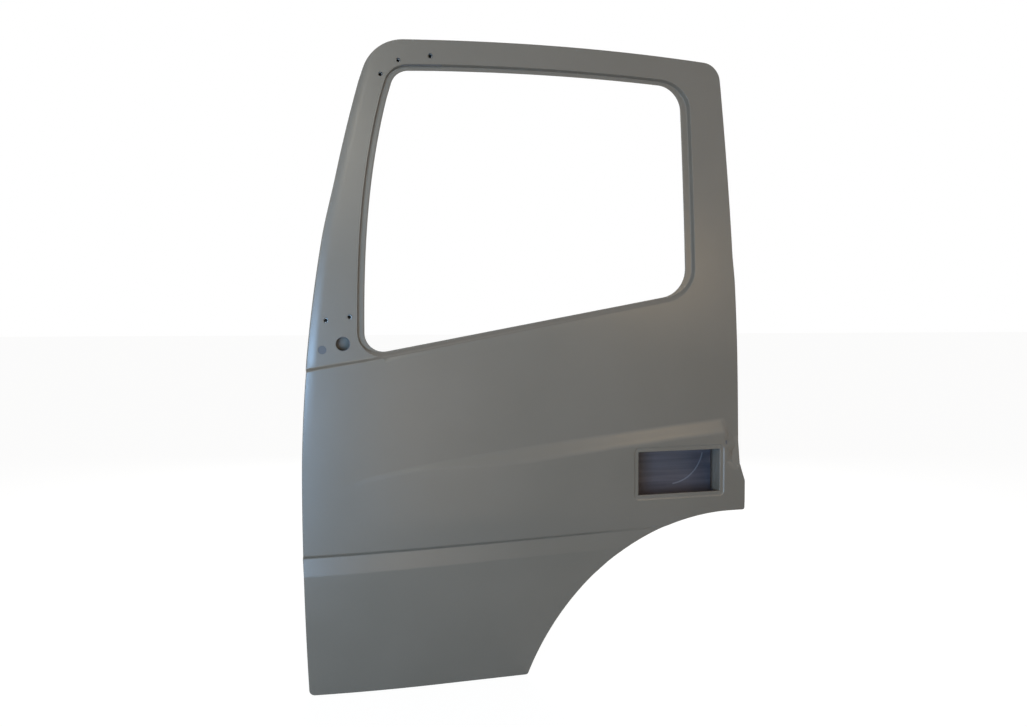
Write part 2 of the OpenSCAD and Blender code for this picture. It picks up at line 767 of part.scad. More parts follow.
module check_strap_plate() {
    plate_h = 74;
    plate_w = 44;
    color(steel) place() translate([shut_x + sheet_t + seam_gap, hinge_y, check_z]) difference() {
        translate([0, -plate_w / 2, -plate_h / 2]) cube([brace_t, plate_w, plate_h]);
        translate([-past, -7, -14]) cube([3 * past, 14, 28]);
        for (k = [-1, 1]) translate([-past, 0, k * 25]) rotate([0, 90, 0])
            cylinder(d = 7, h = 3 * past, $fn = 32);
    }
}

module latch_plate() {
    plate_h = 110;
    color(steel) place() translate([latch_x - sheet_t - seam_gap - brace_t, hinge_y, latch_z]) difference() {
        translate([0, -44, -plate_h / 2])
        cube([brace_t, 44 + door_d - hinge_y - sheet_t - seam_gap, plate_h]);
        translate([-past, -7, -10]) cube([3 * past, 60, 20]);
        for (a = latch_angles) rotate([a, 0, 0]) translate([-past, latch_pcd / 2, 0]) rotate([0, 90, 0])
            cylinder(d = latch_bolt_d, h = 3 * past, $fn = 32);
    }
}

// Back of the skin round a point: its slopes, and how far a flat plate stands off it
function slope_x(x, z, w) = (skin_y(x + w / 2, z) - skin_y(x - w / 2, z)) / w;
function slope_z(x, z, h) = (skin_y(x, z + h / 2) - skin_y(x, z - h / 2)) / h;
function seat_y(x, z, w, h) =
    let (sx = slope_x(x, z, w), sz = slope_z(x, z, h))
    max([for (i = [-4 : 4], k = [-4 : 4])
        skin_y(x + i * w / 8, z + k * h / 8) - sx * i * w / 8 - sz * k * h / 8]) + sheet_t + plate_gap;
plate_gap = 0.5;

// Carries its children to the flat seat behind the skin, in a box [x, z, w, h]
module against_skin(box) {
    translate([box[0], seat_y(box[0], box[1], box[2], box[3]), box[1]])
        rotate([-atan(slope_z(box[0], box[1], box[3])), 0, 0])
            rotate([0, 0, atan(slope_x(box[0], box[1], box[2]))]) children();
}

// Plate that fills the pillar's section within a box and carries the mirror's bolts
module mirror_plate(holes, box) {
    against_skin(box) difference() {
        rotate([90, 0, 0]) translate([0, 0, -brace_t]) linear_extrude(brace_t) translate([-box[0], -box[1]])
            intersection() {
                translate([box[0] - box[2] / 2, box[1] - box[3] / 2]) square([box[2], box[3]]);
                difference() {
                    offset(delta = -flange_w - sheet_t - 1.5) polygon(outline);
                    polygon(lip_points(3));
                }
            }
        for (m = holes) translate([m.x - box[0], -past, m.y - box[1]]) rotate([-90, 0, 0])
            cylinder(d = m.z - 2, h = 3 * past, $fn = 32);
    }
}

module mirror_nuts(holes, box) {
    against_skin(box) for (m = holes) translate([m.x - box[0], brace_t + seam_gap, m.y - box[1]])
        rotate([-90, 0, 0]) weld_nut(m.z - 3, m.z + 3, 7);
}

upper_box = [262, door_h - 72, 184, 92];
lower_box = [86, belt_z + 55, 92, 108];
bolts_lower = [mirror_lower[0], mirror_lower[1]];

module mirror_plate_upper() {
    color(steel) place() mirror_plate(mirror_upper, upper_box);
}

module mirror_nuts_upper() {
    color(zinc) place() mirror_nuts(mirror_upper, upper_box);
}

module mirror_plate_lower() {
    color(steel) place() mirror_plate(concat(bolts_lower, [mirror_lower[3]]), lower_box);
}

module mirror_nuts_lower() {
    color(zinc) place() mirror_nuts(bolts_lower, lower_box);
}

outer_skin();
inner_panel();
window_frame_inner();
belt_rail_outer();
belt_rail_inner();
impact_beam();
impact_beam_bracket_front();
impact_beam_bracket_rear();
damping_pads();
handle_frame();
glass_channel_front();
glass_channel_rear();
hinge_pad_upper();
hinge_pad_lower();
hinge_nuts_upper();
hinge_nuts_lower();
check_strap_plate();
latch_plate();
mirror_plate_upper();
mirror_nuts_upper();
mirror_plate_lower();
mirror_nuts_lower();
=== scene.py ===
"""Looks of the truck cab door: a finer outer skin and window frame from the part's own formula,
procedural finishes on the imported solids, lamps, and the photo's camera."""
import json
import math

import bpy
import numpy as np
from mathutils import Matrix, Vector
from mathutils.geometry import delaunay_2d_cdt


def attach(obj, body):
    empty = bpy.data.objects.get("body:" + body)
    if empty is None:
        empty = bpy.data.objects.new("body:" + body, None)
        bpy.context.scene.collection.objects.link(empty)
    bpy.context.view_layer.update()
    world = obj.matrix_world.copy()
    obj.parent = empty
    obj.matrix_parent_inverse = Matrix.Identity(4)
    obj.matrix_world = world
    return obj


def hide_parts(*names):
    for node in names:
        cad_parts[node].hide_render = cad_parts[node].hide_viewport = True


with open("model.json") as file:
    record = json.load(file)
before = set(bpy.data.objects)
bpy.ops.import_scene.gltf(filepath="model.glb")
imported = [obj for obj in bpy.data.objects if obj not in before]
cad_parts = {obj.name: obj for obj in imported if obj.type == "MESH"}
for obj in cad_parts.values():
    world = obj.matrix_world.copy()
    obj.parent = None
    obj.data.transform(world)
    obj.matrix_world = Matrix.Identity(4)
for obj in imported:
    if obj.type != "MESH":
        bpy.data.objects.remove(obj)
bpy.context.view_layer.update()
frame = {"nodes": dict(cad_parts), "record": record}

# Sizes of the door in millimetres, as the part's source has them, or as the photo shows them. X runs
# rearward from the front edge, Y into the cab from the skin, Z up from the lower edge. ORIGIN is the
# frame's origin in these axes.
ORIGIN = np.array([30.8, 58.0, 690.0])
DOOR_H, DOOR_W, DOOR_D, FRAME_D = 1600.0, 1160.0, 92.0, 36.0
SHEET, SEAM = 1.0, 0.2
HEM_W, FLANGE_W = 11.0, 16.0
HEM_T = 3 * SHEET + 2 * SEAM
FOLD = HEM_T / 2

# Outline. The front edge is drawn in round the header and the rear edge above the belt, by a depth,
# from a height upwards, over a further height.
FOOT_W, ARCH_R, ARCH_H, LIP_OUT, LIP_TOP = 568.0, 602.0, 395.0, 13.0, 503.0
BELLY_Z, FOOT_SWEEP, PILLAR_LEAN, REAR_LEAN = 502.0, 18.0, 181.0, 36.0
HEADER_DROP, CROWN_X, CROWN_W = 12.0, 700, 400
FOOT_CORNER_R, ARCH_FOOT_R, LIP_FOOT_R, LIP_R, REAR_CORNER_R, FRONT_CORNER_R = 14, 8, 6, 10, 48, 112
FRONT_DRAW, FRONT_DRAW_Z, FRONT_DRAW_H = 4.7, 1090, 160
REAR_DRAW, REAR_DRAW_Z, REAR_DRAW_H = 3, 1000, 80

# Skin form. A name that ends in _X is where something starts, in _RUN the length over which it comes
# in; a drop is measured down from the belt line.
TUMBLEHOME, WAIST_Z = 56, 800
TURN_UNDER, TURN_Z = 26, 410
FRONT_SWEEP, SWEEP_X = 24, 320
SWAGE_Z, SWAGE_RISE, SWAGE_D, SWAGE_LIP, SWAGE_H, SWAGE_R = 342, 0.025, 7, 5.0, 44.0, 2.2
SWAGE_FADE, SWAGE_FADE_X, SWAGE_FADE_RUN = 0.6, 700, 170
CREASE_Z, CREASE_RISE, CREASE_FRONT, CREASE_REAR = 518, 119, 128, 1030
CREASE_W_FRONT, CREASE_W_GAIN, CREASE_W_X, CREASE_W_RUN = 16, 29, 230, 350
SWELL_OUT, SWELL_X, SWELL_RUN, SWELL_LOW_Z, SWELL_FADE_H = 13, 70, 530, 430, 180
SWELL_END, SWELL_END_LEAN, SWELL_END_W, SWELL_END_RISE, SWELL_END_H = 1135, 0.264, 24, 9, 16
SHOULDER_D, SHOULDER_H, SHOULDER_DROP, SHOULDER_X, SHOULDER_RUN = 8, 8, 15, 150, 800
SHOULDER_DIP, SHOULDER_DIP_X, SHOULDER_DIP_RUN = 3, 30, 170
INNER_SHOULDER_DROP, INNER_SHOULDER_H = 12, 10
RAMP_DROP, RAMP_H = 90, 130
ROLL_W, ROLL_D, ROLL_Z, ROLL_H = 24, 1.1, 560, 200
ROLL_BELT_D, ROLL_BELT_DROP, ROLL_BELT_H = 2.1, 14, 30

# Window
BELT_Z, BELT_RISE, SILL_DROP = 819.0, 0.1826, 2
WINDOW_FRONT, WINDOW_REAR, WINDOW_TOP, WINDOW_LEAN = 147.0, 1007.0, 1525.0, 90.0
WINDOW_FOOT_X = WINDOW_FRONT + 5
SILL_FRONT_R, SILL_REAR_R, HEAD_REAR_R, HEAD_FRONT_R = 45, 80, 64, 48
LAND_FRONT, LAND_REAR, LAND_TOP, LAND_ROUND = 15.0, 19.0, 9.5, 0.35
STEP_W, BELT_ROUND, STEP_D = 5.0, 15.0, 13.0

# Handle aperture, holes, and the inner half of the window frame
HANDLE_X, HANDLE_Z, HANDLE_W, HANDLE_H = 859.0, 449.0, 238.0, 112.0
RIM_W, RIM_D, RIM_R, RIM_STEP, RIM_FOLD_R = 14.0, 2.0, 15, 5.0, 1.2
RIM_FLANGE, RIM_REAR_WALL = 9.0, 42.0
MIRROR_HOLES = [
    (200, 1496, 11), (244.5, 1533, 11), (324.5, 1549, 13),
    (59.5, 902, 12), (115, 910, 12), (50, 832, 20), (98.5, 846, 34),
]
HOLE_ROLL = 0.5
SEAM_LINE = 13.8
SEAM_SLOPE = math.sqrt(1 + BELT_RISE**2)
BELT_NORMAL = 0.98374  # 1 / SEAM_SLOPE, rounded
FOLD_R, WALL_W, WELD_GAP, WELD_END = 3.0, 13, 0.7, 0.8
GLASS_SLOT_FRONT, GLASS_SLOT_REAR, GLASS_SLOT_TOP = 192, 912, 3
TRIM_SLOT = (16, 8, 3.5)
GRID_CLEAR = 3.0


# Outline

def ease(t):
    """Smooth step: 0 below 0, 1 above 1, and 3t^2 - 2t^3 between."""
    t = np.clip(t, 0, 1)
    return t * t * (3 - 2 * t)


def front_x(z):
    """Front edge: two parabolas that meet at the belly, drawn in a little round the header."""
    draw = FRONT_DRAW * ease((z - FRONT_DRAW_Z) / FRONT_DRAW_H)
    low = draw + FOOT_SWEEP * (np.maximum(0, BELLY_Z - z) / BELLY_Z) ** 2
    return low + PILLAR_LEAN * (np.maximum(0, z - BELLY_Z) / (DOOR_H - BELLY_Z)) ** 2


def rear_x(z):
    """Rear edge: a power curve that leans forward above the wheel arch lip, drawn in a little
    above the belt."""
    lean = REAR_LEAN * (np.maximum(0, z - LIP_TOP) / (DOOR_H - LIP_TOP)) ** 1.5
    return DOOR_W - REAR_DRAW * ease((z - REAR_DRAW_Z) / REAR_DRAW_H) - lean


def header_z(x, top=DOOR_H):
    """Upper edge: a parabola about its crown."""
    return top - HEADER_DROP * ((x - CROWN_X) / CROWN_W) ** 2


def belt_line(x):
    """Height of the belt: a straight line that rises to the rear."""
    return BELT_Z + BELT_RISE * (x - WINDOW_FRONT)


def window_side(z):
    """Front side of the window: a power curve of the height above the belt."""
    return WINDOW_FOOT_X + WINDOW_LEAN * (np.maximum(0, z - BELT_Z) / (WINDOW_TOP - BELT_Z)) ** 2.6


# Form of the skin

def swage_line(x):
    """Height of the swage's upper fold."""
    return SWAGE_Z + SWAGE_RISE * x


def crease_line(x):
    """Height of the handle swell's upper crease: a power curve of the distance from its front end."""
    share = (x - CREASE_FRONT) / (CREASE_REAR - CREASE_FRONT)
    return CREASE_Z + CREASE_RISE * np.maximum(0, share) ** 0.7


def crease_width(x):
    """Height over which the crease rounds over into the skin above, wider to the rear."""
    return CREASE_W_FRONT + CREASE_W_GAIN * ease((x - CREASE_W_X) / CREASE_W_RUN)


def soft_ramp(down):
    """Cross-section of the swage: up along one straight flank, down along a longer one,
    averaged over a short length so that its folds get a radius."""
    shifts = np.linspace(-SWAGE_R, SWAGE_R, 9)
    folds = [0, SWAGE_LIP, SWAGE_LIP + SWAGE_H]
    return np.mean([np.interp(down + s, folds, [0, 1, 0]) for s in shifts], axis=0)


def base_y(x, z):
    """Plain bend of the door: tumblehome, turn-under and front sweep, as powers of the distance
    from where each starts."""
    return (
        TUMBLEHOME * (np.maximum(0, z - WAIST_Z) / (DOOR_H - WAIST_Z)) ** 1.6
        + TURN_UNDER * (np.maximum(0, TURN_Z - z) / TURN_Z) ** 2
        + FRONT_SWEEP * (np.maximum(0, SWEEP_X - x) / SWEEP_X) ** 2
    )


def shoulder_depth(x):
    """Depth of the step under the window, which runs out to the rear."""
    return SHOULDER_D * (1 - ease((x - SHOULDER_X) / SHOULDER_RUN))


def skin_y(x, z):
    """Depth of the outer skin: the plain bend, plus the swage, minus the handle swell, plus the
    shoulder under the window, plus the roll of the front edge."""
    full = 1 - SWAGE_FADE * ease((x - SWAGE_FADE_X) / SWAGE_FADE_RUN)
    swage = SWAGE_D * full * soft_ramp(swage_line(x) - z)
    end = SWELL_END - SWELL_END_LEAN * (z - LIP_TOP)
    swell = (
        SWELL_OUT * ease((x - SWELL_X) / SWELL_RUN) * ease((crease_line(x) - z) / crease_width(x))
        * (1 - ease((SWELL_LOW_Z - z) / SWELL_FADE_H))
        * (1 - ease((x - end) / SWELL_END_W) * ease((z - LIP_TOP - SWELL_END_RISE) / SWELL_END_H))
    )
    foot = belt_line(x) - SHOULDER_DROP - SHOULDER_DIP * ease((x - SHOULDER_DIP_X) / SHOULDER_DIP_RUN)
    shoulder = shoulder_depth(x) * ease((z - foot) / SHOULDER_H)
    # The front edge rolls over, most of all above the seam of the inner sheets
    deep = ROLL_D * ease((z - ROLL_Z) / ROLL_H)
    deep = deep + ROLL_BELT_D * ease((z - belt_line(x) + ROLL_BELT_DROP) / ROLL_BELT_H)
    roll = deep * np.clip((ROLL_W - x + front_x(z)) / ROLL_W, 0, 1.2) ** 2
    return base_y(x, z) + swage - swell + shoulder + roll


def inner_y(x, z):
    """Depth of the cab side: the flat inner panel low down, a fixed distance behind the bent door
    round the window, with a smooth step between them along the belt."""
    t = ease((z - belt_line(x) + RAMP_DROP) / RAMP_H)
    shoulder = shoulder_depth(x) * ease((z - belt_line(x) + INNER_SHOULDER_DROP) / INNER_SHOULDER_H)
    return DOOR_D * (1 - t) + (base_y(x, z) + shoulder + FRAME_D) * t


# Loops

def rounded(corners, step=7.0, arc_steps=10):
    """Closed loop through corners (x, z, radius): each corner with a radius becomes an arc that
    touches both sides, and the straight runs between are divided into equal steps."""
    pts = np.array([corner[:2] for corner in corners], float)
    radii = [corner[2] for corner in corners]
    pieces = []
    for a, b, c, radius in zip(np.roll(pts, 1, 0), pts, np.roll(pts, -1, 0), radii):
        if radius == 0:
            pieces.append(b[None])
            continue
        u, v = (a - b) / np.linalg.norm(a - b), (c - b) / np.linalg.norm(c - b)
        half = math.acos(np.clip(u @ v, -1, 1)) / 2
        centre = b + (u + v) / np.linalg.norm(u + v) * radius / math.sin(half)
        p, q = b + u * radius / math.tan(half) - centre, b + v * radius / math.tan(half) - centre
        start = math.atan2(p[1], p[0])
        turn = (math.atan2(q[1], q[0]) - start + 3 * math.pi) % (2 * math.pi) - math.pi
        t = start + turn * np.linspace(0, 1, arc_steps + 1)
        pieces.append(centre + radius * np.stack([np.cos(t), np.sin(t)], 1))
    loop = np.concatenate(pieces)
    nxt = np.roll(loop, -1, 0)
    counts = np.maximum(1, np.round(np.linalg.norm(nxt - loop, axis=1) / step)).astype(int)
    which = np.repeat(np.arange(len(loop)), counts)
    share = (np.arange(counts.sum()) - np.repeat(np.cumsum(counts) - counts, counts)) / counts[which]
    return loop[which] + (nxt - loop)[which] * share[:, None]


def sharp(x, z):
    """Corners without a radius at the points x, z."""
    return [(p, q, 0) for p, q in zip(x, z)]


def outward(loop):
    """Unit normals of an anticlockwise loop, pointing out of it: the mean of both sides' normals."""
    d = np.roll(loop, -1, 0) - loop
    d /= np.linalg.norm(d, axis=1)[:, None]
    n = np.stack([d[:, 1], -d[:, 0]], 1)
    n = n + np.roll(n, 1, 0)
    return n / np.maximum(1e-9, np.linalg.norm(n, axis=1))[:, None]


def bend_radius(loop):
    """Radius of the inward bend at each point of a loop, taken as the least within 25 mm, then
    averaged over the same length, so that an inner edge can keep clear of tight corners. A straight
    run counts as 200 mm."""
    d = np.roll(loop, -1, 0) - loop
    length = np.linalg.norm(d, axis=1)
    heading = np.arctan2(d[:, 1], d[:, 0])
    turn = (heading - np.roll(heading, 1) + math.pi) % (2 * math.pi) - math.pi
    radius = np.minimum(200, (length + np.roll(length, 1)) / 2 / np.maximum(1e-6, turn))
    run = np.cumsum(length)
    gap = np.abs(run[:, None] - run[None])
    near = np.minimum(gap, run[-1] - gap) < 25
    least = np.where(near, radius[None], 1e9).min(1)
    return (near * least[None]).sum(1) / near.sum(1)


def door_outline():
    """Outer edge of the door, anticlockwise from the foot of the front edge. The front edge has
    close points where the shoulder and the swage meet it."""
    arch_x = FOOT_W + math.sqrt(ARCH_R**2 - (ARCH_R - ARCH_H) ** 2)
    first = math.acos((arch_x - FOOT_W) / ARCH_R)
    a = np.linspace(first, math.pi / 2, 60)[1:-1]
    rear = np.concatenate([np.arange(LIP_TOP + 16, 660, 5.0), np.arange(670, 1535, 20.0)])
    head = np.arange(1065, 330, -20.0)
    front = np.concatenate([
        np.arange(1475, 835, -20.0), np.arange(830, 745, -2.0), np.arange(730, 350, -20.0),
        np.arange(352, 280, -3.0), np.arange(265, 30, -20.0),
    ])
    lip_x = DOOR_W + LIP_OUT
    return rounded(
        [(front_x(0.0), 0, FOOT_CORNER_R), (FOOT_W, 0, ARCH_FOOT_R)]
        + sharp(arch_x - ARCH_R * np.cos(a), ARCH_H - ARCH_R + ARCH_R * np.sin(a))
        + [(lip_x, ARCH_H, LIP_FOOT_R), (lip_x, LIP_TOP - 30, LIP_R), (DOOR_W, LIP_TOP + 8, LIP_R)]
        + sharp(rear_x(rear), rear)
        + [(rear_x(DOOR_H), header_z(rear_x(DOOR_H)), REAR_CORNER_R)]
        + sharp(head, header_z(head))
        + [(front_x(DOOR_H - 8), header_z(200.0), FRONT_CORNER_R)]
        + sharp(front_x(front), front)
    )


def window_outline():
    """Inner edge of the window rebate, anticlockwise from its lower front corner."""
    belt = np.arange(210, 900, 20.0)
    head = np.arange(915, 320, -20.0)
    front = np.arange(1440, 880, -20.0)
    return rounded(
        [(WINDOW_FOOT_X, belt_line(WINDOW_FOOT_X) - SILL_DROP, SILL_FRONT_R)]
        + sharp(belt, belt_line(belt) - SILL_DROP)
        + [(WINDOW_REAR, belt_line(WINDOW_REAR) - SILL_DROP, SILL_REAR_R)]
        + [(WINDOW_REAR, header_z(WINDOW_REAR, WINDOW_TOP), HEAD_REAR_R)]
        + sharp(head, header_z(head, WINDOW_TOP))
        + [(window_side(WINDOW_TOP - 12.0), header_z(235.0, WINDOW_TOP), HEAD_FRONT_R)]
        + sharp(window_side(front), front),
        step=5.0, arc_steps=16,
    )


def pane(x, z, w, h, radius):
    """Rectangle with round corners, from its lower front corner."""
    corners = [(x, z, radius), (x + w, z, radius), (x + w, z + h, radius), (x, z + h, radius)]
    return rounded(corners, arc_steps=8)


def circle(x, z, diameter, steps=28):
    """Circle in the x-z plane, anticlockwise."""
    t = np.arange(steps) * 2 * math.pi / steps
    return np.array([x, z]) + diameter / 2 * np.stack([np.cos(t), np.sin(t)], 1)


# Sheet-metal meshes

def inside(points, loop):
    """Which points lie inside a closed loop, by counting the edges that cross a ray from each."""
    a, b = loop, np.roll(loop, -1, 0)
    x, z = points[:, :1], points[:, 1:]
    cross = (a[:, 1] > z) != (b[:, 1] > z)
    with np.errstate(divide="ignore", invalid="ignore"):
        at = a[:, 0] + (z - a[:, 1]) * (b[:, 0] - a[:, 0]) / (b[:, 1] - a[:, 1])
    return (cross & (x < at)).sum(1) % 2 == 1


def on_sheet(points, edge, holes):
    """Which points lie inside the edge and outside every hole."""
    keep = inside(points, edge)
    for hole in holes:
        keep &= ~inside(points, hole)
    return keep


def fill(edge, holes, grid, joins=()):
    """Plane triangles that fill a loop and leave its holes open, through the points of the loops and
    those grid points that lie inside and clear of every loop. Joins are further sides between
    points. Also gives the number of each loop's first point."""
    loops = [edge] + holes
    rim = np.concatenate(loops)
    grid = grid[on_sheet(grid, edge, holes)]
    near = np.concatenate([np.linalg.norm(part[:, None] - rim[None], axis=2).min(1)
                           for part in np.array_split(grid, max(1, len(grid) // 500))])
    points = np.concatenate([rim, grid[near > GRID_CLEAR]])
    starts = np.cumsum([0] + [len(loop) for loop in loops])
    sides = np.concatenate([
        np.stack([np.arange(len(loop)), (np.arange(len(loop)) + 1) % len(loop)], 1) + start
        for loop, start in zip(loops, starts)
    ])
    sides = sides.tolist() + [list(pair) for pair in joins]
    made = delaunay_2d_cdt([Vector(p) for p in points.tolist()], sides, [], 0, 1e-6)
    order = np.array([ids[0] if ids else -1 for ids in made[3]])
    tris = order[np.array(made[2])]
    tris = tris[on_sheet(points[tris].mean(1), edge, holes)]
    a, b, c = points[tris[:, 0]], points[tris[:, 1]], points[tris[:, 2]]
    area = (b[:, 0] - a[:, 0]) * (c[:, 1] - a[:, 1]) - (b[:, 1] - a[:, 1]) * (c[:, 0] - a[:, 0])
    tris[area < 0] = tris[area < 0][:, ::-1]
    return points, tris[np.abs(area) > 1e-9], starts


def lifted(points, surface, depth):
    """Plane points carried to y = surface(x, z) + depth."""
    return np.stack([points[:, 0], surface(points[:, 0], points[:, 1]) + depth, points[:, 1]], 1)


def facing(surface, p):
    """Unit normal of y = surface(x, z) on the side towards -Y, from its slopes over 0.2 mm."""
    x, z, h = p[:, 0], p[:, 1], 0.1
    sx = (surface(x + h, z) - surface(x - h, z)) / (2 * h)
    sz = (surface(x, z + h) - surface(x, z - h)) / (2 * h)
    n = np.stack([sx, -np.ones_like(sx), sz], 1)
    return n / np.linalg.norm(n, axis=1)[:, None]


def sheet_object(name, points, faces, normals):
    """Object of triangles at the origin, in metres in the part's frame, with given vertex normals."""
    mesh = bpy.data.meshes.new(name)
    mesh.from_pydata(((points - ORIGIN) / 1000).tolist(), [], faces.tolist())
    mesh.polygons.foreach_set("use_smooth", np.ones(len(faces), bool))
    mesh.normals_split_custom_set_from_vertices(normals.tolist())
    mesh.update()
    made = bpy.data.objects.new(name, mesh)
    bpy.context.scene.collection.objects.link(made)
    return made


def pressing(name, surface, edge, holes, grid, rims):
    """Closed sheet of one thickness: the plane fill lifted to y = surface(x, z) and again one sheet
    further, joined round each loop by a rim, which is a profile carried along that loop. A rim
    takes the loop and gives one array of 3-D points per profile step."""
    flat, tris, starts = fill(edge, holes, grid)
    n = len(flat)
    near = lifted(flat, surface, 0)
    normals = facing(surface, flat)
    points, shown = [near, near + [0, SHEET, 0]], [normals, -normals]
    faces = [tris, tris[:, ::-1] + n]
    total = 2 * n
    for k, (loop, rim) in enumerate(zip([edge] + holes, rims)):
        rows = rim(loop)
        points += rows
        shown += [np.zeros_like(row) for row in rows]
        first = starts[k] + np.arange(len(loop))
        between = total + np.arange(len(rows) * len(loop)).reshape(len(rows), -1)
        total += between.size
        ids = np.vstack([first, between, n + first])
        a, b = ids[:-1], ids[1:]
        quad = np.stack([a, np.roll(a, -1, 1), np.roll(b, -1, 1), b], -1).reshape(-1, 4)
        if k > 0:
            # Round a hole the sheet lies outside the loop, so its rim is wound the other way
            quad = quad[:, ::-1]
        faces += [quad[:, [0, 2, 1]], quad[:, [0, 3, 2]]]
    return sheet_object(name, np.concatenate(points), np.concatenate(faces), np.concatenate(shown))


# Rims of the outer skin

def swept(loop, direction, steps):
    """Profile carried along a loop: each step (shift, depth) moves the loop along the unit vectors
    of `direction` and sets it that deep behind the skin."""
    return [lifted(loop + direction * np.reshape(shift, (-1, 1)), skin_y, depth)
            for shift, depth in steps]


def arc(cx, cy, radius, start, stop, steps):
    """Profile steps on an arc about (cx, cy), angles in degrees from the first coordinate."""
    t = np.radians(np.linspace(start, stop, steps))
    return [(cx + radius * c, cy + radius * s) for c, s in zip(np.cos(t), np.sin(t))]


def hem(loop):
    """Hem: half round the edge, back along the folded leaf, round the leaf's end and along its inner
    side to the fold. Where the outline turns tightly, the leaf is 0.72 of the turn's radius wide."""
    width = np.minimum(HEM_W, 0.72 * (bend_radius(loop) + FOLD)) - FOLD
    steps = arc(0, FOLD, FOLD, -75, 90, 12)
    steps += [(-width, HEM_T), (-width - 0.3, HEM_T - 0.3)]
    steps += [(-width - 0.3, HEM_T - 0.7), (-width, HEM_T - SHEET)]
    steps += arc(0, FOLD, FOLD - SHEET, 90, -75, 7)
    return swept(loop, outward(loop), steps)


def window_rebate(loop):
    """Rebate: from the skin down a steep smooth step to the seal's land, round its edge, and back
    one sheet thickness behind."""
    width, end, back, r = REBATE_W, REBATE_W + REBATE_LAND, STEP_D + SHEET, LAND_ROUND
    share = np.linspace(0, 1, 15)[1:]
    steps = [(width * t, STEP_D * ease(t)) for t in share]
    steps += [(width + REBATE_LAND * t, STEP_D) for t in (0.35, 0.7)]
    steps += [(end - r, STEP_D), (end, STEP_D + r), (end, back - r), (end - r, back)]
    steps += [(width + REBATE_LAND * t, back) for t in (0.7, 0.35)]
    steps += [(width * t, STEP_D * ease(t) + SHEET) for t in share[::-1]]
    return swept(loop, -REBATE_OUT, steps)


def handle_rim(loop):
    """Rim of the handle aperture: a short smooth step, a flat seat, a fold and a flange into the
    door, deepest at the rear side, and back one sheet thickness behind."""
    out = outward(loop)
    deep = RIM_FLANGE + RIM_REAR_WALL * np.maximum(0, out[:, 0]) ** 2
    steps = [(RIM_STEP * t, RIM_D * ease(t)) for t in np.linspace(0, 1, 8)[1:]]
    steps += [(RIM_W * t, RIM_D) for t in (0.5, 0.75)]
    steps += [(RIM_W + s, RIM_D + d) for s, d in arc(-RIM_FOLD_R, RIM_FOLD_R, RIM_FOLD_R, -90, 0, 6)]
    steps += [(RIM_W, RIM_D + deep * t) for t in (0.4, 0.7, 1)]
    steps += [(RIM_W - SHEET, RIM_D + deep), (RIM_W - SHEET, RIM_D + 2.0), (RIM_W - 1.3, RIM_D + 1.2)]
    steps += [(RIM_W * t, RIM_D + SHEET) for t in (0.75, 0.5)]
    steps += [(RIM_STEP * t, RIM_D * ease(t) + SHEET) for t in np.linspace(1, 0, 8)[:-1]]
    return swept(loop, -out, steps)


def bore(loop):
    """Punched hole: straight wall with slightly rolled edges."""
    return swept(loop, -outward(loop), [(0.2, 0.15), (0.25, 0.3), (0.25, 0.7), (0.2, 0.85)])


# Outer skin

outline = door_outline()
edge = outline - outward(outline) * FOLD
window = window_outline()
REBATE_OUT = outward(window)
nx, nz = REBATE_OUT[:, 0], REBATE_OUT[:, 1]
REBATE_LAND = np.where(nx < 0, LAND_FRONT, LAND_REAR) * nx**2 + np.where(nz > 0, LAND_TOP * nz**2, 0)
REBATE_W = STEP_W + (BELT_ROUND - STEP_W) * np.maximum(0, -nz) ** 2
lip = window + REBATE_OUT * (REBATE_LAND + REBATE_W)[:, None]
aperture = pane(HANDLE_X - RIM_W, HANDLE_Z - RIM_W, HANDLE_W + 2 * RIM_W, HANDLE_H + 2 * RIM_W, RIM_R)
holes = [circle(x, z, d + HOLE_ROLL) for x, z, d in MIRROR_HOLES]


def skin_grid():
    """Grid of points whose rows follow the pressed lines and whose columns follow the front edge, with
    close rows at each fold and close columns at both edges."""
    columns = np.concatenate([np.arange(3.2, 42, 3.4), np.arange(48, 300, 9.0),
                              np.arange(300, 1060, 11.0), np.arange(1060, 1180, 3.5)])
    counts = [24, 4, 5, 9, 8, 3, 7, 14, 6, 9, 3, 62]
    band = np.repeat(np.arange(len(counts)), counts)
    share = np.concatenate([np.arange(count) / count for count in counts])[:, None]
    row = np.arange(len(band))

    def row_heights(x):
        """Heights of the rows, in equal steps between marks that follow the pressed lines."""
        swage, crease, belt = swage_line(x), crease_line(x), belt_line(x)
        marks = np.stack([
            0 * x, swage - 51.5, swage - 46, swage - 7.5, swage + 2.5, 0 * x + 450,
            crease - crease_width(x), crease, belt - 90, belt - 19, belt - 9, belt, 0 * x + 1605,
        ])
        low, high = marks[band, row], marks[band + 1, row]
        return low + (high - low) * share

    x = np.tile(columns, (len(band), 1))
    z = row_heights(x)
    for _ in range(2):
        x = columns + front_x(z) * np.maximum(0, 1 - columns / 420)
        z = row_heights(x)
    return np.stack([x.ravel(), z.ravel()], 1)


skin = pressing("outer_skin_pressing", skin_y, edge, [lip, aperture] + holes, skin_grid(),
                [hem, window_rebate, handle_rim] + [bore] * len(holes))
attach(skin, "root")
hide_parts("outer_skin")


# Inner half of the window frame

def above_seam(points):
    """Height of plane points above the seam between the inner sheets, which follows the belt."""
    return points[:, 1] - belt_line(points[:, 0]) + SEAM_LINE


def crossed(loop):
    """Loop with a point added at each place where it crosses the seam."""
    over = above_seam(loop)
    pieces = []
    for p, q, a, b in zip(loop, np.roll(loop, -1, 0), over, np.roll(over, -1)):
        pieces.append(p)
        if a * b < 0:
            pieces.append(p + (q - p) * a / (a - b))
    return np.array(pieces)


def on_seam(loop):
    """Numbers of the loop's points on the seam, from front to rear."""
    hit = np.flatnonzero(np.abs(above_seam(loop)) < 1e-6)
    return hit[np.argsort(loop[hit, 0])]


